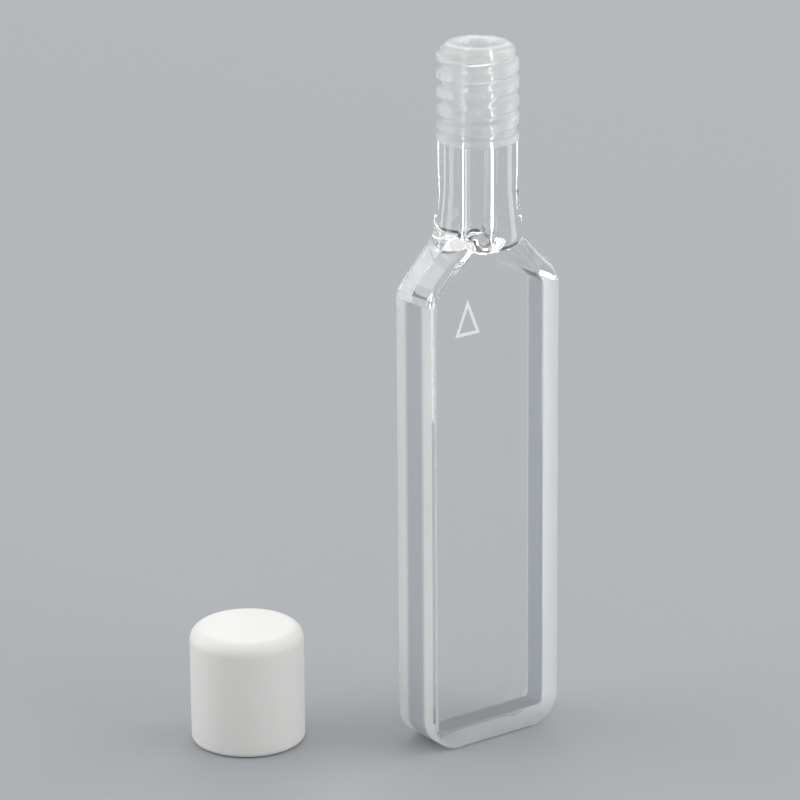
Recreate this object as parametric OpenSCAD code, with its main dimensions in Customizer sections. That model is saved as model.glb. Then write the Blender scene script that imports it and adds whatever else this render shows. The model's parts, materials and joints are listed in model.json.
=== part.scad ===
// Flat sample cell in fused quartz with a round threaded neck, and its one-piece screw cap.
// The cell stands upright on its own foot, with its polished windows facing -Y and +Y.
// The cap is off, and stands on its open end beside the cell.

/* [Cell body] */
// Width across the two side walls
body_w = 12.5; // [11:0.1:14]
// Light path, from the inside of one window to the inside of the other
path_len = 2; // [1.6:0.1:3]
// Thickness of each polished window
window_t = 1.4; // [1.2:0.1:2]
// Thickness of the side walls
side_wall = 1; // [0.7:0.05:1.3]
// Thickness of the floor
floor_t = 1.2; // [0.8:0.05:1.6]
// Height at which the line of the sloping shoulders leaves the sides
shoulder_z = 38; // [30:0.5:48]
// Thickness of glass over the sample space at the shoulders, square to the slope
shoulder_wall = 1.3; // [1:0.1:1.8]
// Radius of the two outer bottom corners
foot_r = 2.7; // [1.5:0.1:3.5]
// Radius in the corners of the sample space
inner_r = 0.4; // [0.2:0.1:0.8]
// Radius where the sides turn into the shoulders
shoulder_r = 2; // [1.2:0.1:3]
// Chamfer ground on the long edges
edge_chamfer = 0.15; // [0.05:0.05:0.3]

/* [Neck] */
// Outer diameter of the neck tube
neck_d = 6.2; // [5.6:0.1:7.2]
// Bore of the neck tube
bore_d = 2.1; // [1.6:0.1:2.6]
// Length of clear tube between the shoulders and the ground thread
neck_clear_l = 8; // [5:0.1:12]
// How far the tube's foot spreads where it is fused to the shoulders
flare = 0.6; // [0.3:0.05:0.8]
// Height over which the tube's foot spreads
flare_h = 5; // [3:0.1:6]
// Curve of the spread: 1 is a straight cone, and a higher number keeps it nearer the foot
flare_curve = 1.3; // [1:0.1:2]
// Rounding of the bore's mouth
mouth_chamfer = 0.25; // [0.1:0.05:0.4]

/* [Thread] */
// How far the thread's crest stands proud of the neck tube
crest_step = 0.1; // [0.025:0.025:0.2]
// Pitch of the single right-hand thread
pitch = 1.4; // [1.2:0.05:1.6]
// Depth of the groove
thread_depth = 0.45; // [0.2:0.05:0.5]
// Number of turns of groove
turns = 4.1; // [3:0.1:7]
// Direction, seen from above, in which the groove runs out at its lower end
run_out = -38; // [-180:1:180]
// Plain ground band below the thread
ground_band = 0.5; // [0.4:0.1:2]
// Width of the level groove between that band and the thread
relief_w = 0.5; // [0.3:0.05:0.8]
// Depth of the level groove
relief_depth = 0.3; // [0.1:0.05:0.4]
// Height of the rounded rim above the thread
rim_h = 0.9; // [0.7:0.05:1.2]
// How far the rim stands in from the crest of the thread
rim_step = 0.3; // [0.1:0.05:0.4]

/* [Cap] */
// Outer diameter of the cap
cap_d = 9.1; // [8.6:0.1:11]
// Thickness of the cap's closed end
cap_end_t = 2.3; // [1.2:0.1:3]
// Radius of the cap's top edge
cap_top_r = 1.1; // [0.5:0.1:1.4]
// Radius of the cap's lower edge
cap_lip_r = 0.4; // [0.1:0.05:0.5]
// Clearance between the two threads, on the radius
thread_clearance = 0.15; // [0.05:0.05:0.2]
// Gap between the cap's lip and the foot of the ground band when it is screwed home
cap_lip_gap = 0.35; // [0.1:0.05:0.6]
// How far to the left of the cell's middle the cap stands
cap_left = 15.7; // [13:0.1:24]
// How far behind the cell's middle the cap stands
cap_back = 9.9; // [0:0.1:18]

/* [Hidden] */

$fn = 96;
thread_points = 32;
slices_per_turn = 14;
overlap = 0.2;

body_d = path_len + 2 * window_t;
neck_r = neck_d / 2;
bore_r = bore_d / 2;
crest_r = neck_r + crest_step;
root_r = crest_r - thread_depth;
slope_top = shoulder_z + body_w / 2;
neck_foot_z = slope_top - neck_r;
flare_foot_z = neck_foot_z - flare;
ground_z = neck_foot_z + neck_clear_l;
relief_z = ground_z + ground_band;
thread_z = relief_z + relief_w;
thread_h = turns * pitch;
rim_z = thread_z + thread_h;
top_z = rim_z + rim_h;

// --- Outlines ---

// Flat flask seen from the front: round foot corners, straight sides, 45 degree shoulders.
// slope_z is where the shoulder's line leaves the side, and top is where the outline ends.
module flask_outline(half_w, foot_z, foot_radius, slope_z, slope_radius, top) {
    turn_z = slope_z - slope_radius * tan(22.5);
    turn_x = half_w - slope_radius;
    reach = slope_radius * sin(45);
    top_x = half_w - (top - slope_z);
    for (side = [-1, 1]) {
        translate([side * (half_w - foot_radius), foot_z + foot_radius]) circle(foot_radius);
        translate([side * turn_x, turn_z]) circle(slope_radius);
    }
    translate([foot_radius - half_w, foot_z]) square([2 * (half_w - foot_radius), foot_radius]);
    polygon([
        [-half_w, foot_z + foot_radius],
        [half_w, foot_z + foot_radius],
        [half_w, turn_z],
        [turn_x + reach, turn_z + reach],
        [top_x, top],
        [-top_x, top],
        [-turn_x - reach, turn_z + reach],
        [-half_w, turn_z]
    ]);
}

// Plan of the body, with its four long edges chamfered
module chamfered_plan() {
    x = body_w / 2;
    y = body_d / 2;
    c = edge_chamfer;
    polygon([
        [x, c - y], [x, y - c], [x - c, y], [c - x, y],
        [-x, y - c], [-x, c - y], [c - x, -y], [x - c, -y]
    ]);
}

// Points of a quarter round about [x, z], from one angle to another
function arc(x, z, r, from, to, steps = 8) =
    [for (i = [0:steps]) let (a = from + (to - from) * i / steps) [x + r * cos(a), z + r * sin(a)]];

// Stands an outline drawn in X and Y upright, and gives it a depth along Y
module upright(depth) {
    rotate([90, 0, 0]) linear_extrude(depth, center = true) children();
}

// --- The flat body: ground sides and foot, two polished windows ---
module body_blank() {
    intersection() {
        upright(body_d) flask_outline(body_w / 2, 0, foot_r, shoulder_z, shoulder_r, neck_foot_z);
        linear_extrude(neck_foot_z) chamfered_plan();
    }
}

// The sample space between the windows, which narrows to the bore under the shoulders
module sample_space() {
    inner_w = body_w / 2 - side_wall;
    inner_slope_z = slope_top - shoulder_wall / sin(45) - inner_w;
    upright(path_len)
        flask_outline(inner_w, floor_t, inner_r, inner_slope_z, inner_r, inner_slope_z + inner_w - bore_r);
}

// --- The neck: a tube whose foot spreads where it is fused to the body ---

// Radius of the spreading foot at a height, down to where it meets the shoulders' slope
function foot_radius_at(z) = neck_r + flare * pow(1 - (z - flare_foot_z) / flare_h, flare_curve);

function foot_points(from_z, steps = 10) =
    [for (i = [0:steps])
        let (z = from_z + (flare_foot_z + flare_h - from_z) * i / steps) [foot_radius_at(z), z]];

// The round tube. Its foot is wider than the body is deep, and turns under onto each window.
// Its upper end is the ground band and the level groove that the thread runs out into.
module neck_tube() {
    turn_z = neck_foot_z + flare;
    spread_r = foot_radius_at(turn_z);
    turn_r = max(spread_r - body_d / 2, edge_chamfer);
    rotate_extrude() polygon(concat(
        [[0, turn_z - turn_r]],
        arc(spread_r - turn_r, turn_z, turn_r, -90, -10),
        foot_points(turn_z),
        [[neck_r, ground_z], [crest_r, ground_z], [crest_r, relief_z]],
        [[crest_r - relief_depth, relief_z], [crest_r - relief_depth, thread_z + overlap / 2]],
        [[0, thread_z + overlap / 2]]
    ));
}

// The weld at the two narrow sides, where the tube's foot runs down into the shoulders
module side_weld() {
    intersection() {
        rotate_extrude() polygon(concat(
            [[0, flare_foot_z]],
            foot_points(flare_foot_z),
            [[0, flare_foot_z + flare_h]]
        ));
        translate([-body_w / 2, edge_chamfer - body_d / 2, 0])
            cube([body_w, body_d - 2 * edge_chamfer, top_z]);
    }
}

// --- The thread ---

// How deep the groove is around one turn: 0 on the round crest, 1 at the root
function groove(turn) = pow(max(0, 0.25 + 0.75 * cos(360 * turn)), 1.5);

// A stretch of thread: one section, hollowed on one side, that twists a full turn in each pitch
module thread() {
    translate([0, 0, thread_z]) rotate([0, 0, run_out])
        linear_extrude(thread_h, twist = -360 * turns, slices = round(slices_per_turn * turns), $fn = thread_points)
            polygon([for (i = [0:thread_points - 1])
                let (turn = i / thread_points)
                    (crest_r - thread_depth * groove(turn)) * [cos(360 * turn), sin(360 * turn)]]);
}

// The fire-polished rim above the thread
module rim() {
    rim_r = crest_r - rim_step;
    round_r = rim_h - overlap;
    translate([0, 0, rim_z]) rotate_extrude() polygon(concat(
        [[0, -overlap / 2], [rim_r, -overlap / 2]],
        arc(rim_r - round_r, rim_h - round_r, round_r, 0, 90),
        [[0, rim_h]]
    ));
}

// The bore, from the sample space to its rounded mouth
module bore() {
    foot_z = slope_top - shoulder_wall / sin(45) - 2 * bore_r;
    translate([0, 0, foot_z]) cylinder(r = bore_r, h = top_z - foot_z + overlap);
    translate([0, 0, top_z - mouth_chamfer])
        cylinder(r1 = bore_r, r2 = bore_r + mouth_chamfer + overlap, h = mouth_chamfer + overlap);
}

module quartz_cell() {
    color([0.86, 0.92, 0.95, 0.5]) difference() {
        union() {
            body_blank();
            side_weld();
            neck_tube();
            thread();
            rim();
        }
        sample_space();
        bore();
    }
}

// --- The cap: turned from one piece, closed at the top ---
module screw_cap() {
    outer_r = cap_d / 2;
    hollow_r = root_r + thread_clearance;
    hollow_h = top_z - ground_z - cap_lip_gap;
    cap_h = hollow_h + cap_end_t;
    color("white") translate([-cap_left, cap_back, 0]) rotate_extrude() polygon(concat(
        [[hollow_r, 0]],
        arc(outer_r - cap_lip_r, cap_lip_r, cap_lip_r, -90, 0),
        arc(outer_r - cap_top_r, cap_h - cap_top_r, cap_top_r, 0, 90),
        [[0, cap_h], [0, hollow_h], [hollow_r, hollow_h]]
    ));
}

quartz_cell();
screw_cap();
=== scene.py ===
# %% [markdown]
# # A screw-cap cuvette in fused quartz
#
# The object is a flat cell for measuring light through a liquid. Two polished quartz windows
# stand 2 mm apart between ground side walls, and a round threaded neck is fused on top. Its cap,
# turned from one piece of PTFE, stands beside it.
#
# Clear quartz is hard to show, because what is seen is mostly what stands behind it. So the wall
# thickness, the chamfers and the places that are ground white have to be right, and the light has
# to hold something dark as well as something bright. The lesson goes in that order: the packed
# frame and the camera, the light, the skin of the cell, its thread, the finishes, and the cap.

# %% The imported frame
import json
import math

import bmesh
import bpy
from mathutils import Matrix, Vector


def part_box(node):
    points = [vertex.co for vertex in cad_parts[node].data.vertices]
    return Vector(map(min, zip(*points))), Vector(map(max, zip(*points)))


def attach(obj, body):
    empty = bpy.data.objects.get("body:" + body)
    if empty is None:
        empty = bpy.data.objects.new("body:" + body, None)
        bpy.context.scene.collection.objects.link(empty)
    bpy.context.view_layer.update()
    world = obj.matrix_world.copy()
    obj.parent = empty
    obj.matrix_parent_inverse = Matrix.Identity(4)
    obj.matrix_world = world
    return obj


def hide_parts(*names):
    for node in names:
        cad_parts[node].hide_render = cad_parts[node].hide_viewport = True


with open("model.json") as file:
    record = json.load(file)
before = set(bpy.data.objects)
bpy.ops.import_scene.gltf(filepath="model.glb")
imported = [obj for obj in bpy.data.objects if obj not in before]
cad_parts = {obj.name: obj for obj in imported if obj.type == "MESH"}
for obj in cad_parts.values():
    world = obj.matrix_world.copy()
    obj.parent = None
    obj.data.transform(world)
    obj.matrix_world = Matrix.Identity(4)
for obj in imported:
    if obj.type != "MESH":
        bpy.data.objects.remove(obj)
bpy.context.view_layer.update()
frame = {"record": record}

mm = 0.001
cell_low, cell_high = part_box("quartz_cell")
cap_low, cap_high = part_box("screw_cap")
mounts = {m["name"]: m for m in frame["record"]["mounts"]}
print("cell", [round(v / mm, 2) for v in cell_high - cell_low], "mm")
print("cap", [round(v / mm, 2) for v in cap_high - cap_low], "mm")

# %% [markdown]
# ## The camera
#
# The cell is small and is looked at through a long lens from about 34 cm, from its left front and
# a little above. The long lens keeps the upright edges parallel, as a catalogue picture does.
# The turn is written as three angles: how far the camera tips, rolls and swings.

# %% Camera
camera_data = bpy.data.cameras.new("camera")
camera_data.lens = 190.5
camera_data.clip_start = 0.01
camera_data.clip_end = 20
camera = bpy.data.objects.new("camera", camera_data)
camera.location = Vector((-191.3, -250.28, 134.26)) * mm
camera.rotation_euler = [math.radians(a) for a in (71.35, 0.43, -36.42)]
bpy.context.scene.collection.objects.link(camera)
bpy.context.scene.camera = camera
bpy.context.scene.view_settings.view_transform = "Standard"
print("camera", round(camera.location.length, 3), "m from the cell's foot")

# %% [markdown]
# ## Two small helpers
#
# Colours are written as the hex values that a paint chart gives. Blender works in linear light, so
# one function turns them. The other adds a node to any tree, with its settings and its links.

# %% Helpers
def colour(code):
    """Linear RGBA from an sRGB hex value such as F2F4F6."""
    shares = [int(code[i:i + 2], 16) / 255 for i in (0, 2, 4)]
    linear = [s / 12.92 if s <= 0.04045 else ((s + 0.055) / 1.055) ** 2.4 for s in shares]
    return (*linear, 1.0)


def add(tree, kind, inputs=None, **settings):
    """Adds one node. inputs are values or sockets to link, by the input's name or number.

    A whole node among them stands for its first output."""
    node = tree.nodes.new(kind)
    for name, value in settings.items():
        setattr(node, name, value)
    for key, value in (inputs or {}).items():
        if isinstance(value, bpy.types.Node):
            value = value.outputs[0]
        if isinstance(value, bpy.types.NodeSocket):
            tree.links.new(value, node.inputs[key])
        else:
            node.inputs[key].default_value = value
    return node


def new_material(name):
    """An empty material, and its empty node tree."""
    material = bpy.data.materials.new(name)
    material.use_nodes = True
    material.node_tree.nodes.clear()
    return material, material.node_tree


print("a mid grey, 808080, is", round(colour("808080")[0], 3), "in linear light")

# %% [markdown]
# ## The floor
#
# A plain, pale, matt floor. It is a light grey and not white, so that the ground sides of the cell
# and the white cap are the lightest things on it. It reaches far enough to fill the picture from
# every side.

# %% Floor
floor_size = 6.0
floor_z = -0.03 * mm    # a hair under the foot, so that the two flat faces don't share a plane

floor_paint, tree = new_material("matt_grey_paint")
shader = add(tree, "ShaderNodeBsdfPrincipled", {
    "Base Color": colour("ACAFB2"), "Roughness": 0.9, "Specular IOR Level": 0.0})
add(tree, "ShaderNodeOutputMaterial", {"Surface": shader})

reach = floor_size / 2
floor_corners = [(-reach, -reach), (reach, -reach), (reach, reach), (-reach, reach)]
floor_mesh = bpy.data.meshes.new("floor")
floor_mesh.from_pydata([(x, y, floor_z) for x, y in floor_corners], [], [(0, 1, 2, 3)])
floor_mesh.materials.append(floor_paint)
floor = bpy.data.objects.new("floor", floor_mesh)
bpy.context.scene.collection.objects.link(floor)
print("floor", floor_size, "m square")

# %% [markdown]
# ## The light
#
# Clear glass shows only what stands round it, so the room is made for the glass. Two wide soft
# boxes stand far off on the left and on the right, low, so that they light the upright ground sides
# more than the floor. A third stands behind and is raised. They are far enough away for the floor
# to show no edge where their light ends.
#
# Three narrow white cards stand near the neck. They light nothing but the glass, which bends them
# into thin bright lines along the tube's edges and its bore. They stand clear of the lines of sight
# through the windows, where a card would show as a white block.
#
# Near the horizon the room is dim, which gives the edges their dark lines. Overhead it is bright
# and even, and lights the floor and the cap. Light turns back many times inside such a piece of
# glass before it comes out, so it is followed for 32 turns. Cut off sooner, it would show as black.

# %% World and lamps
world = bpy.data.worlds.new("studio")
bpy.context.scene.world = world
world.use_nodes = True
tree = world.node_tree
tree.nodes.clear()
looking = add(tree, "ShaderNodeTexCoord").outputs["Generated"]
up = add(tree, "ShaderNodeSeparateXYZ", {0: looking}).outputs["Z"]
# The room brightens from 3 degrees above the horizon to 49 degrees. These are their sines.
sky = add(tree, "ShaderNodeMapRange", {
    "Value": up, "From Min": 0.05, "From Max": 0.75, "To Min": 0.08, "To Max": 0.85},
    interpolation_type="SMOOTHSTEP")
background = add(tree, "ShaderNodeBackground", {"Color": colour("FFFFFF"), "Strength": sky})
add(tree, "ShaderNodeOutputWorld", {"Surface": background})


def soft_box(name, direction, distance, width, height, raised, radiance, only_in_glass=False):
    """An upright soft box that faces the middle. Sizes are in metres.

    direction is where it stands, in degrees, anticlockwise from +X."""
    lamp_data = bpy.data.lights.new(name, "AREA")
    lamp_data.shape = "RECTANGLE"
    lamp_data.size = width
    lamp_data.size_y = height
    lamp_data.energy = radiance * math.pi * width * height
    lamp = bpy.data.objects.new(name, lamp_data)
    turn = math.radians(direction)
    lamp.location = (distance * math.cos(turn), distance * math.sin(turn), raised + height / 2)
    lamp.rotation_euler = (math.radians(90), 0, turn + math.radians(90))
    lamp.visible_camera = False
    lamp.visible_diffuse = not only_in_glass
    bpy.context.scene.collection.objects.link(lamp)
    print(name, round(lamp_data.energy, 3), "W,", width, "m by", height, "m")


ahead = 53.6        # the way that the camera looks, as a direction
soft_box("left_box", ahead + 90, distance=1.50, width=2.2, height=1.3, raised=0.05, radiance=1.45)
soft_box("right_box", ahead - 90, distance=1.50, width=2.6, height=1.3, raised=0.05, radiance=2.15)
soft_box("rear_box", ahead, distance=1.20, width=0.90, height=0.60, raised=0.4, radiance=2.0)
for name, direction, width in (("left_card", 152.0, 0.022), ("left_strip", 124.0, 0.011),
                               ("right_card", -25.0, 0.026)):
    soft_box(name, direction, distance=0.075, width=width, height=0.06, raised=0.0, radiance=3.0,
             only_in_glass=True)

turns_followed = {"max": 32, "transmission": 32, "glossy": 32, "diffuse": 12}
for kind, turns in turns_followed.items():
    setattr(bpy.context.scene.cycles, kind + "_bounces", turns)
print("light is followed for", turns_followed)

# %% [markdown]
# ## The sizes of the cell
#
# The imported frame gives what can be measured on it: width, height, the windows' distance and the
# bore. The rest are the cell's own sizes, from its foot to its rim.

# %% Sizes
half_w = cell_high.x
top_z = cell_high.z
window_y = mounts["rear_window"]["pos_m"][1]
bore_r = mounts["neck_bore"]["dims"]["r_mm"] * mm

foot_r = 2.7 * mm
chamfer = 0.15 * mm
shoulder_z = 38 * mm
shoulder_angle = math.radians(45)
slope_lean = math.sin(shoulder_angle)
shoulder_r = 2 * mm
shoulder_edge_r = 0.5 * mm
slope_top = shoulder_z + half_w
ground_top = 37.0 * mm

half_path = 1 * mm
side_wall = 1 * mm
floor_t = 1.4 * mm      # a better reading than the 1.2 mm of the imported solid
shoulder_wall = 1.3 * mm
inner_r = 0.4 * mm
inner_half_w = half_w - side_wall
inner_slope_top = slope_top - shoulder_wall / slope_lean

neck_r = 3.1 * mm
flare = 0.6 * mm
flare_h = 5 * mm
flare_curve = 1.3
neck_foot_z = slope_top - neck_r
flare_foot_z = neck_foot_z - flare

crest_r = 3.2 * mm
pitch = 1.4 * mm
thread_depth = 0.45 * mm
run_out = math.radians(-38)
relief_w = 0.5 * mm
relief_depth = 0.3 * mm
band_z = neck_foot_z + 8 * mm
relief_z = band_z + 0.5 * mm
thread_z = relief_z + relief_w
rim_z = thread_z + 4.1 * pitch
rim_r = 2.9 * mm
mouth_round = 0.25 * mm
print("thread from", round(thread_z / mm, 2), "to", round(rim_z / mm, 2), "mm")

# %% [markdown]
# ## The skin of the cell, ring by ring
#
# The cell is one piece of glass, so it is one closed skin: up the outside, over the rim, down the
# bore and into the sample space. It changes from a flat box to a round tube on the way, which a
# box and a cylinder joined by a boolean would show as a hard line. So it is lofted from rings that
# all have the same number of points. A ring starts at the left end of the front window and goes
# anticlockwise: window, corner, right side, corner, and then the same again, turned by half a turn.
# Where the plan is round, the same points stand on a circle, about 3 degrees apart.

# %% Ring plan
window_steps = 36
side_steps = 20
corner_steps = 4
plan_ratio = 1.375      # width to depth of the box whose corners give the round ring its directions
corner_share = 0.21     # the rounding of that box's corners, as a share of its half depth


def shares(steps, half_angle):
    """Places along a straight side, from -1 to 1, that lie at even angles seen from the middle."""
    angles = [half_angle * (2 * i / steps - 1) for i in range(steps + 1)]
    return [math.tan(a) / math.tan(half_angle) for a in angles]


def mix(a, b, share):
    return a + (b - a) * share


window_shares = shares(window_steps, math.atan(plan_ratio))
side_shares = shares(side_steps, math.atan(1 / plan_ratio))
WINDOW, EDGE, SIDE = 0, 1, 2
half_zones = ([WINDOW] * window_steps + [EDGE] * corner_steps
              + [SIDE] * side_steps + [EDGE] * corner_steps)
zones = half_zones * 2
ring_points = len(zones)


def box_ring(x, z, lean_x, lean_z, half_y, edge, roundness):
    """A ring round the box, where its outline stands at x and z and leans outwards.

    The windows stand in from the outline by the edge's size. The edge is a chamfer or a round."""
    edge_points = []
    for k in range(1, corner_steps):
        turn = k / corner_steps
        angle = math.radians(90 * turn)
        from_outline = edge * mix(1 - turn, 1 - math.sin(angle), roundness)
        from_window = edge * mix(turn, 1 - math.cos(angle), roundness)
        edge_points.append((x - from_outline * lean_x, half_y - from_window,
                            z - from_outline * lean_z))
    half = [((x - edge * lean_x) * s, -half_y, z - edge * lean_z) for s in window_shares]
    half += [(ex, -ey, ez) for ex, ey, ez in edge_points]
    half += [(x, (half_y - edge) * s, z) for s in side_shares]
    half += reversed(edge_points)
    return half + [(-px, -py, pz) for px, py, pz in half]


frozen_ring = box_ring(plan_ratio, 0, 1, 0, 1, corner_share, 1)
frozen_plan = [Vector(p).normalized() for p in frozen_ring]


def round_ring(radius, z):
    return [(radius * d.x, radius * d.y, z) for d in frozen_plan]


def smooth_step(low, high, value):
    share = min(max((value - low) / (high - low), 0), 1)
    return share * share * (3 - 2 * share)


def smooth_max(a, b, blend):
    """The larger of two radii, with a fillet where they cross."""
    near = max(blend - abs(a - b), 0) / blend
    return max(a, b) + near * near * blend / 4


print(ring_points, "points in a ring")

# %% [markdown]
# ### The flat body
#
# The rings of the body follow its outline as seen from the front: the flat foot, the round corners,
# the straight sides, and the turn into the 45 degree shoulders. The long edges have a narrow
# chamfer. Above the ground sides the flame has melted the edges of the shoulders round.

# %% Body rings
melt_below = 0.2 * mm
melt_above = 1.6 * mm


def outline_round(centre_x, centre_z, radius, start, end, steps):
    """Stations along a round of the outline: (x, z, lean in x, lean in z)."""
    angles = [math.radians(mix(start, end, i / steps)) for i in range(steps + 1)]
    return [(centre_x + radius * math.cos(a), centre_z + radius * math.sin(a),
             math.cos(a), math.sin(a)) for a in angles]


def profile_round(*place):
    """The same round, as points (radius, z) of a turned profile."""
    return [(x, z) for x, z, _, _ in outline_round(*place)]


def outline(half_width, foot_z, foot_round, slope_height, slope_round, side_heights, slope_heights):
    """Stations from the foot to the slope.

    slope_height is where the slope's line leaves the side."""
    turn_z = slope_height - slope_round * math.tan(shoulder_angle / 2)
    stations = outline_round(half_width - foot_round, foot_z + foot_round, foot_round, -90, 0, 16)
    stations += [(half_width, z, 1, 0) for z in side_heights]
    stations += outline_round(half_width - slope_round, turn_z, slope_round, 0, 45, 10)
    stations += [(slope_height + half_width - z, z, slope_lean, slope_lean) for z in slope_heights]
    return stations


def body_edge(z):
    """Size and roundness of the long edges at a height."""
    melted = smooth_step(ground_top - melt_below, ground_top + melt_above, z)
    return mix(chamfer, shoulder_edge_r, melted), melted


side_heights = [z * mm for z in (6, 12, 18, 24, 30, 35, 36.4)]
side_heights += [ground_top, ground_top + 0.1 * mm]
slope_heights = [z * mm for z in (38.9, 39.3)]
body_stations = outline(half_w, 0, foot_r, shoulder_z, shoulder_r, side_heights, slope_heights)
body_rings = [box_ring(*station, window_y, *body_edge(station[1])) for station in body_stations]
print(len(body_rings), "rings in the body")

# %% [markdown]
# ### The weld
#
# The neck's tube is wider than the body is deep. Over the two narrow sides its foot flares out and
# runs down the shoulders. Over the windows it hangs out by a millimetre and turns under, which is
# the bright crescent that such a cell shows. Each ring here takes the larger of the box and the
# tube in every direction, with a fillet where they cross: a small one on the windows, and a wide
# one on the sides, where the flame has drawn the glass together.

# %% Weld rings
levels_out = (40.2 * mm, 40.9 * mm)     # over these heights the box's sloping ring becomes level
turns_under = (0.45, 0.68)      # sines: between these directions the flare gives way to the turn
window_fillet = 0.14 * mm
side_fillet = 0.45 * mm
draws_in = 4        # how steeply the tube draws in below its turn, which leaves the box the larger


def flare_radius(z):
    """The tube's radius where its foot spreads."""
    share = min(max((z - flare_foot_z) / flare_h, 0), 1)
    return neck_r + flare * (1 - share) ** flare_curve


turn_z = neck_foot_z + flare
turn_r = -cell_low.y - window_y     # the tube's foot hangs out this far over a window


def turned_radius(z):
    """The tube's radius over a window, where the foot turns under."""
    drop = turn_z - z
    if drop <= 0:
        return min(flare_radius(z), -cell_low.y)
    if drop >= turn_r:
        return window_y - draws_in * (drop - turn_r)
    return window_y + math.sqrt(turn_r ** 2 - drop ** 2)


def box_radius(dx, dy, half_x, half_y, corner):
    """How far a box with round corners reaches from its middle in one direction."""
    radius = min(half_x / max(abs(dx), 1e-6), half_y / max(abs(dy), 1e-6))
    corner = min(corner, half_x)
    cx, cy = half_x - corner, half_y - corner
    if radius * abs(dx) <= cx or radius * abs(dy) <= cy:
        return radius
    along = cx * abs(dx) + cy * abs(dy)
    return along + math.sqrt(max(along ** 2 - cx ** 2 - cy ** 2 + corner ** 2, 0))


def weld_ring(z):
    """The larger of the box and the tube in every direction."""
    fade = smooth_step(*levels_out, z)
    lean = slope_lean * (1 - fade)
    frozen_x = plan_ratio * window_y
    slope_x = max(slope_top - z, 0.1 * mm)
    edge = mix(shoulder_edge_r, corner_share * window_y, fade)
    ring = []
    for px, py, pz in box_ring(max(slope_x, frozen_x), z, lean + fade, lean, window_y, edge, 1):
        box_r = math.hypot(px, py)
        dx, dy = px / box_r, py / box_r
        if slope_x < frozen_x:
            box_r = box_radius(dx, dy, slope_x, window_y, edge)
        over_window = smooth_step(*turns_under, abs(dy))
        tube_r = mix(flare_radius(pz), turned_radius(pz), over_window)
        radius = smooth_max(box_r, tube_r, mix(side_fillet, window_fillet, over_window))
        ring.append((radius * dx, radius * dy, pz))
    return ring


# The rings stand closer together towards the turn.
below_turn = [z * mm for z in (39.7, 40.0, 40.2, 40.35, 40.45, 40.52, 40.57, 40.61)]
under_turn = [turn_z - turn_r * math.sin(math.radians(a)) for a in range(90, -1, -9)]
above_turn = [mix(turn_z, flare_foot_z + flare_h, i / 20) for i in range(1, 21)]
weld_rings = [weld_ring(z) for z in below_turn + under_turn + above_turn]
print(len(weld_rings), "rings in the weld")

# %% [markdown]
# ### The neck, the rim and the bore
#
# Above the weld the rings are round. The thread's stretch gets one ring every 0.06 mm, enough to
# carry the groove that is cut into it later. The rim is turned down to let the cap start, and
# its mouth is rounded in the flame. Then the skin turns and goes down the bore.

# %% Neck rings
thread_ring_step = 0.06 * mm
thread_ring_count = round((rim_z - relief_z) / thread_ring_step)
band_lip = 0.05 * mm
rim_ledge = 0.03 * mm
rim_round = 0.7 * mm
mouth_drop = 0.03 * mm      # the rim falls this much from its top to its mouth

neck_profile = [(neck_r, mix(flare_foot_z + flare_h, band_z - band_lip, s)) for s in (0.5, 1)]
band_profile = [(crest_r - band_lip, band_z), (crest_r, band_z + band_lip)]
thread_profile = [(crest_r, mix(relief_z, rim_z, i / thread_ring_count))
                  for i in range(thread_ring_count + 1)]

mouth_z = top_z - mouth_drop
rim_profile = [(rim_r, rim_z + rim_ledge)]
rim_profile += profile_round(rim_r - rim_round, top_z - rim_round, rim_round, 0, 90, 10)
rim_profile += [(mix(rim_r - rim_round, bore_r + mouth_round, 0.5), mix(top_z, mouth_z, 0.4))]
rim_profile += profile_round(bore_r + mouth_round, mouth_z - mouth_round, mouth_round, 90, 180, 8)
bore_profile = [(bore_r, z * mm) for z in (56, 53, 50, 47, 44, 42, 41.7)]
print(thread_ring_count, "rings in the thread")

# %% [markdown]
# ### The sample space
#
# Under the bore the two windows leave a slot 2 mm deep and 10.5 mm wide. The bore is a hair wider
# than the slot, so it melts into it over about a millimetre. The slot then widens along the
# shoulders and ends on a flat floor with small round corners.

# %% Slot rings
slot_edge = 0.06 * mm
slot_fillet = 0.06 * mm
slot_top_low, slot_top_high = 39.4 * mm, 41.6 * mm
slot_top_steps = 22
corners_melt = (slot_top_low, 40.6 * mm)    # over these heights the slot's corners grow round,
bore_opens = (40.3 * mm, 40.9 * mm)         # then the bore's circle grows out of it,
bore_alone = (41.0 * mm, 41.55 * mm)        # and then the bore is all that is left


def slot_top_ring(z):
    """Between the bore's circle and the slot's box."""
    slot_x = max(inner_slope_top - z, 0.01 * mm)
    frozen_x = plan_ratio * half_path
    to_round = smooth_step(*corners_melt, z)
    edge = mix(slot_edge, corner_share * half_path, to_round)
    round_r = mix(0.9 * half_path, bore_r, smooth_step(*bore_opens, z))
    into_bore = smooth_step(*bore_alone, z)
    ring = []
    for px, py, pz in box_ring(max(slot_x, frozen_x), z, 1, 0, half_path, edge, 1):
        slot_r = math.hypot(px, py)
        dx, dy = px / slot_r, py / slot_r
        if slot_x < frozen_x:
            slot_r = box_radius(dx, dy, slot_x, half_path, edge)
        radius = mix(smooth_max(slot_r, round_r, slot_fillet), bore_r, into_bore)
        ring.append((radius * dx, radius * dy, pz))
    return ring


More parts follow.
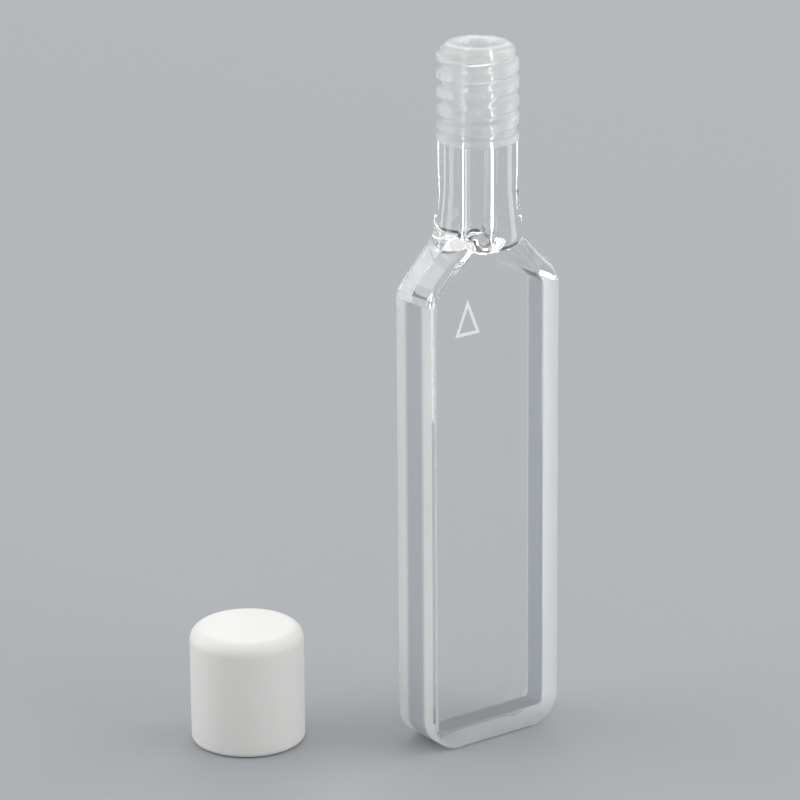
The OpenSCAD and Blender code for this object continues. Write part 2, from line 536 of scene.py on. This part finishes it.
slot_top_rings = [slot_top_ring(mix(slot_top_high, slot_top_low, i / slot_top_steps))
                  for i in range(slot_top_steps + 1)]
slot_slope_z = inner_slope_top - inner_half_w
slot_side_heights = [z * mm for z in (6, 12, 18, 24, 30, 35)]
slot_slope_heights = [z * mm for z in (38.2, 38.9)]
slot_stations = outline(inner_half_w, floor_t, inner_r, slot_slope_z, inner_r,
                        slot_side_heights, slot_slope_heights)
slot_rings = [box_ring(x, z, 1, 0, half_path, slot_edge, 1)
              for x, z, _, _ in reversed(slot_stations)]
print(len(slot_rings) + len(slot_top_rings), "rings in the sample space")

# %% [markdown]
# ## Joining the rings
#
# Each pair of rings is joined by a band of four-sided faces, and the first and the last ring are
# closed by one flat face each. Every face also remembers its finish: 0 for polished, 1 for the
# coarse grind of the sides and the foot, 2 for the fine grind of the thread. In one ring the
# windows, the edges and the sides can differ. A point remembers whether the thread is cut into it.
# The nodes read both later.

# %% Loft
POLISHED, GROUND, FINE_GROUND = 0, 1, 2
ALL_POLISHED = (POLISHED,) * 3
ALL_FINE_GROUND = (FINE_GROUND,) * 3
GROUND_SIDES = (POLISHED, POLISHED, GROUND)
GROUND_SIDES_AND_EDGES = (POLISHED, GROUND, GROUND)


def loft(name, parts):
    """One closed skin from parts, each (rings, finishes, threaded).

    The finishes are three numbers: for the windows, the edges and the sides."""
    verts, faces, finishes, threaded = [], [], [], []
    count = ring_points
    for rings, by_zone, is_threaded in parts:
        for ring in rings:
            start = len(verts)
            verts += ring
            threaded += [is_threaded] * count
            if start == 0:
                continue
            for k in range(count):
                after = (k + 1) % count
                faces.append((start - count + k, start - count + after, start + after, start + k))
                finishes.append(by_zone[zones[k]])
    faces += [tuple(reversed(range(count))), tuple(range(len(verts) - count, len(verts)))]
    finishes += [parts[0][1][SIDE], parts[-1][1][SIDE]]
    mesh = bpy.data.meshes.new(name)
    mesh.from_pydata(verts, [], faces)
    mesh.attributes.new("finish", "INT", "FACE").data.foreach_set("value", finishes)
    mesh.attributes.new("threaded", "BOOLEAN", "POINT").data.foreach_set("value", threaded)
    return mesh


def tidy_skin(mesh, sharp_degrees, may_be_sharp):
    """Merges doubles and marks the hard edges, where may_be_sharp says so."""
    skin = bmesh.new()
    skin.from_mesh(mesh)
    bmesh.ops.remove_doubles(skin, verts=skin.verts, dist=1e-7)
    for face in skin.faces:
        face.smooth = True
    open_edges = 0
    for edge in skin.edges:
        open_edges += len(edge.link_faces) != 2
        turn = edge.calc_face_angle(0)
        middle = (edge.verts[0].co + edge.verts[1].co) / 2
        edge.smooth = not (turn > math.radians(sharp_degrees) and may_be_sharp(middle))
    volume = skin.calc_volume(signed=True) / mm ** 3
    skin.to_mesh(mesh)
    skin.free()
    print(mesh.name, len(mesh.polygons), "faces,", round(volume, 1), "mm3,",
          open_edges, "open edges")


hair = 0.01 * mm
foot_ends = next(i for i, station in enumerate(body_stations) if station[1] > foot_r + hair)
polished_from = next(i for i, station in enumerate(body_stations) if station[1] > ground_top)
ground_from = next(i for i, ring in enumerate(slot_rings) if ring[0][2] < slot_slope_z)
cell_mesh = loft("quartz_cell_glass", [
    (body_rings[:foot_ends], GROUND_SIDES_AND_EDGES, False),
    (body_rings[foot_ends:polished_from], GROUND_SIDES, False),
    (body_rings[polished_from:] + weld_rings, ALL_POLISHED, False),
    ([round_ring(r, z) for r, z in neck_profile], ALL_POLISHED, False),
    ([round_ring(r, z) for r, z in band_profile], ALL_FINE_GROUND, False),
    ([round_ring(r, z) for r, z in thread_profile], ALL_FINE_GROUND, True),
    ([round_ring(r, z) for r, z in rim_profile], ALL_FINE_GROUND, False),
    ([round_ring(r, z) for r, z in bore_profile], ALL_POLISHED, False),
    (slot_top_rings + slot_rings[:ground_from], ALL_POLISHED, False),
    (slot_rings[ground_from:], GROUND_SIDES, False),
])

weld_low = 39.9 * mm


def hard_edge_place(point):
    """Says where an edge stays hard: on the body, in the slot, and on the ledges of the neck.

    The weld, the clear tube and the thread stay smooth."""
    inside = abs(point.y) < half_path + hair and point.z < slope_top
    on_ledge = band_z - 2 * band_lip < point.z < relief_z or point.z > rim_z - hair
    return point.z < weld_low or inside or on_ledge


tidy_skin(cell_mesh, sharp_degrees=25, may_be_sharp=hard_edge_place)

# %% [markdown]
# ## Materials of the cell
#
# Fused quartz is plain silica glass, and its index of refraction is 1.458. What differs from place
# to place is only how the surface was made.
#
# The windows and the flame-worked neck are polished, so they are clear and mirror-smooth, but for
# the faintest haze that wiping leaves. The sides, the foot, and the narrow walls and the floor of
# the sample space were ground with loose grit. Each scratch throws the light another way, so they
# look white: part of the light comes back at once, and the rest goes on, scattered. The mix of a
# Principled and a Translucent shader does both. The thread was ground with a finer wheel and lets
# more light through.
#
# Along the middle of a side there is only a 1 mm wall and then the sample space, and less light
# would come back from there than from the solid quartz before and behind it. That shade is painted
# into the colour: each side gets a greyer painted stripe between two white ones, seen only from
# outside the glass.

# %% Quartz materials
QUARTZ_IOR = 1.458


def painted_stripe_shade(tree, thick, painted_grey):
    """Colour of a ground side: its own colour before solid quartz, and a painted shade of grey
    before the sample space, seen only from outside the glass.
    """
    place = add(tree, "ShaderNodeTexCoord").outputs["Object"]
    y = add(tree, "ShaderNodeSeparateXYZ", {0: place}).outputs["Y"]
    off_middle = add(tree, "ShaderNodeMath", {0: y}, operation="ABSOLUTE")
    solid = add(tree, "ShaderNodeMapRange", {
        "Value": off_middle, "From Min": half_path - 0.25 * mm, "From Max": half_path + 0.35 * mm},
        interpolation_type="SMOOTHSTEP")
    # From inside the glass the side keeps its own colour; the painted shade shows only from
    # outside.
    inside = add(tree, "ShaderNodeNewGeometry").outputs["Backfacing"]
    light = add(tree, "ShaderNodeMath", {0: solid, 1: inside}, operation="MAXIMUM")
    return add(tree, "ShaderNodeMix", {"Factor": light, 6: colour(painted_grey), 7: colour(thick)},
               data_type="RGBA").outputs[2]


def quartz(name, clear, roughness, tint, grain=None, glow=0.0, painted_shade_tint=None):
    """Quartz with one finish.

    clear is the share of light that goes on through the surface, and glow the share that scatters
    on its way. roughness is a pair, and drifts between the two over some 4 mm. grain is the size
    and the height of the grit's marks."""
    material, tree = new_material(name)
    place = add(tree, "ShaderNodeTexCoord").outputs["Object"]
    clouds = add(tree, "ShaderNodeTexNoise", {
        "Vector": place, "Scale": 1 / (4 * mm), "Detail": 2.0})
    # Most of a noise lies between 0.3 and 0.7.
    drift = add(tree, "ShaderNodeMapRange", {
        "Value": clouds, "From Min": 0.3, "From Max": 0.7,
        "To Min": roughness[0], "To Max": roughness[1]})
    shader = add(tree, "ShaderNodeBsdfPrincipled", {
        "Base Color": colour(tint), "IOR": QUARTZ_IOR, "Transmission Weight": clear,
        "Roughness": drift})
    surface = shader
    if glow:
        scattered = add(tree, "ShaderNodeBsdfTranslucent", {"Color": colour(tint)})
        surface = add(tree, "ShaderNodeMixShader", {0: glow, 1: shader, 2: scattered})
        # A painted shade: a greyer stripe along the middle of each ground side.
        if painted_shade_tint:
            shade = painted_stripe_shade(tree, tint, painted_shade_tint)
            tree.links.new(shade, shader.inputs["Base Color"])
            tree.links.new(shade, scattered.inputs["Color"])
    if grain:
        size, height = grain
        grit = add(tree, "ShaderNodeTexNoise", {"Vector": place, "Scale": 1 / size, "Detail": 3.0})
        bump = add(tree, "ShaderNodeBump", {"Height": grit, "Distance": height, "Strength": 0.6})
        tree.links.new(bump.outputs[0], shader.inputs["Normal"])
    add(tree, "ShaderNodeOutputMaterial", {"Surface": surface})
    return material


# Fused quartz, polished to optical flatness: clear, with sharp reflections.
polished_quartz = quartz("polished_fused_quartz", clear=1.0, roughness=(0.0, 0.035), tint="FFFFFF")
# Fused quartz, ground with grit of about 30 microns: white and silky. The grain is drawn at
# 0.12 mm, since the real one is too fine to show.
# C2C8CE is a painted shade: the greyer stripe along the middle of each side.
ground_quartz = quartz("ground_fused_quartz", clear=0.35, roughness=(0.45, 0.55), tint="FAFBFC",
                       grain=(0.12 * mm, 0.01 * mm), glow=0.35, painted_shade_tint="C2C8CE")
# Fused quartz, form-ground with a fine wheel: milky on the ridges, clearer between them.
thread_quartz = quartz("fine_ground_fused_quartz", clear=0.62, roughness=(0.16, 0.24),
                       tint="FDFEFE", grain=(0.2 * mm, 0.01 * mm), glow=0.26)
print("quartz finishes:", polished_quartz.name, ground_quartz.name, thread_quartz.name)

# %% [markdown]
# ## The thread
#
# A thread is one groove that climbs by its pitch in each turn. At any point of the tube its depth
# depends only on the angle and the height, so Geometry Nodes can cut it: the angle less the
# height's share of a turn gives the place in the groove, and a cosine gives its rounded section.
# At its lower end the groove runs out into a level one, so the deeper of the two counts.
# Only points marked as threaded move, straight towards the axis. The same tree makes the thread
# inside the cap. It ends by giving each face the material of its finish.

# %% Thread nodes
def thread_tree(name, materials):
    """A tree that cuts one right-hand groove, then sets materials by each face's finish."""
    tree = bpy.data.node_groups.new(name, "GeometryNodeTree")
    sockets = tree.interface
    sockets.new_socket(name="Geometry", in_out="INPUT", socket_type="NodeSocketGeometry")
    for label in ("Axis X", "Axis Y", "Start", "Run Out Angle", "Pitch", "Depth",
                  "Relief", "Relief Depth"):
        sockets.new_socket(name=label, in_out="INPUT", socket_type="NodeSocketFloat")
    sockets.new_socket(name="Geometry", in_out="OUTPUT", socket_type="NodeSocketGeometry")
    given = add(tree, "NodeGroupInput").outputs

    place = add(tree, "GeometryNodeInputPosition")
    axis = add(tree, "ShaderNodeCombineXYZ", {"X": given["Axis X"], "Y": given["Axis Y"]})
    from_axis = add(tree, "ShaderNodeVectorMath", {0: place, 1: axis}, operation="SUBTRACT")
    flat = add(tree, "ShaderNodeVectorMath", {0: from_axis, 1: (1, 1, 0)}, operation="MULTIPLY")
    outwards = add(tree, "ShaderNodeVectorMath", {0: flat}, operation="NORMALIZE")
    parts = add(tree, "ShaderNodeSeparateXYZ", {0: from_axis}).outputs

    # The place across the groove, as an angle: 0 in its middle
    around = add(tree, "ShaderNodeMath", {0: parts["Y"], 1: parts["X"]}, operation="ARCTAN2")
    angle = add(tree, "ShaderNodeMath", {0: around, 1: given["Run Out Angle"]},
                operation="SUBTRACT")
    height = add(tree, "ShaderNodeMath", {0: parts["Z"], 1: given["Start"]}, operation="SUBTRACT")
    turns = add(tree, "ShaderNodeMath", {0: height, 1: given["Pitch"]}, operation="DIVIDE")
    climbed = add(tree, "ShaderNodeMath", {0: turns, 1: math.tau}, operation="MULTIPLY")
    across = add(tree, "ShaderNodeMath", {0: angle, 1: climbed}, operation="SUBTRACT")

    # The section: a rounded valley, and a plain crest over two fifths of the pitch
    wave = add(tree, "ShaderNodeMath", {0: across}, operation="COSINE")
    raised = add(tree, "ShaderNodeMath", {0: wave, 1: 0.75, 2: 0.25}, operation="MULTIPLY_ADD")
    dip = add(tree, "ShaderNodeMath", {0: raised, 1: 0.0}, operation="MAXIMUM")
    valley = add(tree, "ShaderNodeMath", {0: dip, 1: 1.5}, operation="POWER")

    # The groove fades in from the middle of the level one, which lies under the thread's start
    half_relief = add(tree, "ShaderNodeMath", {0: given["Relief"], 1: 0.5}, operation="MULTIPLY")
    below = add(tree, "ShaderNodeMath", {0: half_relief, 1: -1.0}, operation="MULTIPLY")
    run_in = add(tree, "ShaderNodeMapRange", {
        "Value": height, "From Min": below, "From Max": half_relief},
        interpolation_type="SMOOTHSTEP")
    faded = add(tree, "ShaderNodeMath", {0: valley, 1: run_in}, operation="MULTIPLY")
    groove = add(tree, "ShaderNodeMath", {0: faded, 1: given["Depth"]}, operation="MULTIPLY")

    # The level groove, with a flat bottom over two fifths of its width
    off_middle = add(tree, "ShaderNodeMath", {0: height, 1: half_relief}, operation="ADD")
    from_middle = add(tree, "ShaderNodeMath", {0: off_middle}, operation="ABSOLUTE")
    flat_half = add(tree, "ShaderNodeMath", {0: half_relief, 1: 0.4}, operation="MULTIPLY")
    level = add(tree, "ShaderNodeMapRange", {
        "Value": from_middle, "From Min": half_relief, "From Max": flat_half,
        "To Max": given["Relief Depth"]}, interpolation_type="SMOOTHSTEP")

    # The deeper of the two, with a fillet where they meet, cut towards the axis
    deeper = add(tree, "ShaderNodeMath", {0: groove, 1: level, 2: 0.05 * mm},
                 operation="SMOOTH_MAX")
    inwards = add(tree, "ShaderNodeMath", {0: deeper, 1: -1.0}, operation="MULTIPLY")
    offset = add(tree, "ShaderNodeVectorMath", {0: outwards, "Scale": inwards}, operation="SCALE")
    marked = add(tree, "GeometryNodeInputNamedAttribute", {"Name": "threaded"},
                 data_type="BOOLEAN")
    cut = add(tree, "GeometryNodeSetPosition", {
        "Geometry": given["Geometry"], "Selection": marked, "Offset": offset})

    shape = add(tree, "GeometryNodeRealizeInstances", {0: cut})
    finish = add(tree, "GeometryNodeInputNamedAttribute", {"Name": "finish"}, data_type="INT")
    for number, material in enumerate(materials):
        chosen = add(tree, "FunctionNodeCompare", {2: finish, 3: number},
                     data_type="INT", operation="GREATER_EQUAL")
        shape = add(tree, "GeometryNodeSetMaterial", {
            "Geometry": shape, "Selection": chosen, "Material": material})
    add(tree, "NodeGroupOutput", {0: shape})
    return tree


def cut_thread(mesh, tree, **sizes):
    """Runs the tree on a mesh with these sizes, and returns the result as a plain object."""
    blank = bpy.data.objects.new("blank", mesh)
    bpy.context.scene.collection.objects.link(blank)
    modifier = blank.modifiers.new("thread", "NODES")
    modifier.node_group = tree
    for socket in tree.interface.items_tree:
        if socket.in_out == "INPUT" and socket.name in sizes:
            modifier[socket.identifier] = sizes[socket.name]
    evaluated = blank.evaluated_get(bpy.context.evaluated_depsgraph_get())
    result = bpy.data.meshes.new_from_object(evaluated)
    result.name = mesh.name
    bpy.data.objects.remove(blank)
    piece = bpy.data.objects.new(mesh.name, result)
    bpy.context.scene.collection.objects.link(piece)
    print(piece.name, len(result.polygons), "faces in", [m.name for m in result.materials])
    return piece


# %% Thread on the neck
cell = cut_thread(
    cell_mesh, thread_tree("neck_thread", [polished_quartz, ground_quartz, thread_quartz]),
    **{"Start": thread_z, "Run Out Angle": run_out, "Pitch": pitch, "Depth": thread_depth,
       "Relief": relief_w, "Relief Depth": relief_depth})
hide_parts("quartz_cell")
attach(cell, "root")

# %% [markdown]
# ## The cap
#
# The cap is turned from a PTFE rod, so its skin is a profile spun round an axis: from the ceiling
# down the inside, and up the outside over two rounded edges. The inside starts at the outer radius
# of its thread's valleys. What sinks a groove on the neck raises a ridge in the cap, because both
# move towards the axis, so the same tree makes the ridges that stand between the valleys.

# %% Cap skin
cap_axis = (cap_low + cap_high) / 2
cap_r = (cap_high.x - cap_low.x) / 2
cap_h = cap_high.z
cap_top_r = 1.1 * mm
cap_lip_r = 0.4 * mm
cap_end_t = 2.3 * mm
thread_clearance = 0.15 * mm
cap_valley_r = crest_r + thread_clearance
cap_thread_z = 0.7 * mm
cap_run_in = 0.3 * mm       # height over which the cap's thread begins
above_thread = 0.6 * mm     # plain wall between the cap's thread and its ceiling
cap_ring_step = 0.08 * mm
TURNED = (0, 0, 0)      # the cap has one finish all over

ceiling_z = cap_h - cap_end_t
cap_thread_top = ceiling_z - above_thread
cap_ring_count = round((cap_thread_top - cap_thread_z) / cap_ring_step)


def cap_ring(radius, z):
    angles = [math.tau * i / ring_points for i in range(ring_points)]
    return [(cap_axis.x + radius * math.cos(a), cap_axis.y + radius * math.sin(a), z)
            for a in angles]


inside_profile = [(cap_valley_r, ceiling_z)]
inside_thread = [(cap_valley_r, mix(cap_thread_top, cap_thread_z, i / cap_ring_count))
                 for i in range(cap_ring_count + 1)]
outside_profile = [(cap_valley_r, 0)]
outside_profile += profile_round(cap_r - cap_lip_r, cap_lip_r, cap_lip_r, -90, 0, 8)
outside_profile += [(cap_r, mix(cap_lip_r, cap_h - cap_top_r, 0.5))]
outside_profile += profile_round(cap_r - cap_top_r, cap_h - cap_top_r, cap_top_r, 0, 90, 16)

cap_mesh = loft("turned_cap", [
    ([cap_ring(r, z) for r, z in inside_profile], TURNED, False),
    ([cap_ring(r, z) for r, z in inside_thread], TURNED, True),
    ([cap_ring(r, z) for r, z in outside_profile], TURNED, False),
])
tidy_skin(cap_mesh, sharp_degrees=40, may_be_sharp=lambda point: True)

# %% [markdown]
# ## PTFE
#
# PTFE is a waxy white plastic. Light goes a little way into it before it comes back, so its shade
# is soft and its edges glow slightly. It is too soft to polish: the tool leaves fine rings, which
# show as a satin gloss that runs round the cap.

# %% Cap material
def turned_ptfe():
    material, tree = new_material("turned_white_ptfe")
    place = add(tree, "ShaderNodeTexCoord").outputs["Object"]
    # Tool marks. The real ones are nearer 0.05 mm apart, too fine to show, so they are drawn
    # coarser. A wave texture repeats after a twentieth of tau in its own units.
    ring_gap = 0.754 * mm
    rings = add(tree, "ShaderNodeTexWave", {
        "Vector": place, "Scale": math.tau / 20 / ring_gap, "Distortion": 0.0},
        wave_type="BANDS", bands_direction="Z")
    bump = add(tree, "ShaderNodeBump", {
        "Height": rings.outputs["Fac"], "Distance": 0.002 * mm, "Strength": 0.3})
    # Handling leaves faint cloudy patches in the gloss, some 3 mm across.
    clouds = add(tree, "ShaderNodeTexNoise", {
        "Vector": place, "Scale": 1 / (3 * mm), "Detail": 2.0})
    gloss = add(tree, "ShaderNodeMapRange", {
        "Value": clouds, "From Min": 0.3, "From Max": 0.7, "To Min": 0.38, "To Max": 0.48})
    shade = add(tree, "ShaderNodeMix", {
        "Factor": clouds, 6: colour("F3F2EF"), 7: colour("F0EFEB")}, data_type="RGBA")
    shader = add(tree, "ShaderNodeBsdfPrincipled", {
        "Base Color": shade.outputs[2], "Roughness": gloss, "IOR": 1.35, "Normal": bump,
        "Subsurface Weight": 0.6, "Subsurface Radius": (1.0, 0.95, 0.9),
        "Subsurface Scale": 0.5 * mm})
    add(tree, "ShaderNodeOutputMaterial", {"Surface": shader})
    return material


cap = cut_thread(
    cap_mesh, thread_tree("cap_thread", [turned_ptfe()]),
    **{"Axis X": cap_axis.x, "Axis Y": cap_axis.y, "Start": cap_thread_z, "Pitch": pitch,
       "Depth": thread_depth, "Relief": cap_run_in})
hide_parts("screw_cap")
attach(cap, "root")

# %% [markdown]
# ## The mark on the window
#
# Such a cell carries a small etched mark near the top of one window, so that it always goes into
# the instrument the same way round. Here it is a plain triangle that points up. It is a frosted
# line 0.26 mm wide, drawn as a flat ribbon that stands under a hundredth of a millimetre proud.

# %% Etched mark
mark_low = Vector((-4.05, 34.4)) * mm
mark_high = Vector((-1.65, 37.3)) * mm
mark_line = 0.26 * mm
mark_proud = 0.008 * mm


def triangle(inset):
    """A triangle that points up, drawn in from the mark's place by the inset."""
    half = (mark_high.x - mark_low.x) / 2
    tall = mark_high.y - mark_low.y
    lean = math.hypot(half, tall) / half
    middle = (mark_low.x + mark_high.x) / 2
    foot = mark_low.y + inset
    peak = mark_high.y - inset * lean
    reach_x = half * (peak - foot) / tall
    return [(middle - reach_x, foot), (middle + reach_x, foot), (middle, peak)]


outer, inner = triangle(0), triangle(mark_line)
front_y, back_y = -window_y - mark_proud, -window_y + mark_proud
# Points 0 to 2 are the outer triangle in front, 3 to 5 the inner one, and 6 to 11 the same behind.
verts = [(x, y, z) for y in (front_y, back_y) for x, z in outer + inner]
faces = []
for k in range(3):
    after = (k + 1) % 3
    faces += [(k, after, 3 + after, 3 + k), (6 + after, 6 + k, 9 + k, 9 + after),
              (after, k, 6 + k, 6 + after), (3 + k, 3 + after, 9 + after, 9 + k)]
mark_mesh = bpy.data.meshes.new("etched_mark")
mark_mesh.from_pydata(verts, [], faces)

# Etched quartz: white like the ground sides. The line is so thin that it is drawn opaque.
etched, tree = new_material("etched_fused_quartz")
place = add(tree, "ShaderNodeTexCoord").outputs["Object"]
grain = add(tree, "ShaderNodeTexNoise", {
    "Vector": place, "Scale": 1 / (0.08 * mm), "Detail": 2.0})
gloss = add(tree, "ShaderNodeMapRange", {"Value": grain, "To Min": 0.5, "To Max": 0.75})
shader = add(tree, "ShaderNodeBsdfPrincipled", {
    "Base Color": colour("FAFBFC"), "Roughness": gloss, "IOR": QUARTZ_IOR})
add(tree, "ShaderNodeOutputMaterial", {"Surface": shader})
mark_mesh.materials.append(etched)
mark = bpy.data.objects.new("etched_mark", mark_mesh)
bpy.context.scene.collection.objects.link(mark)
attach(mark, "root")
print("mark", round((mark_high.y - mark_low.y) / mm, 1), "mm tall")
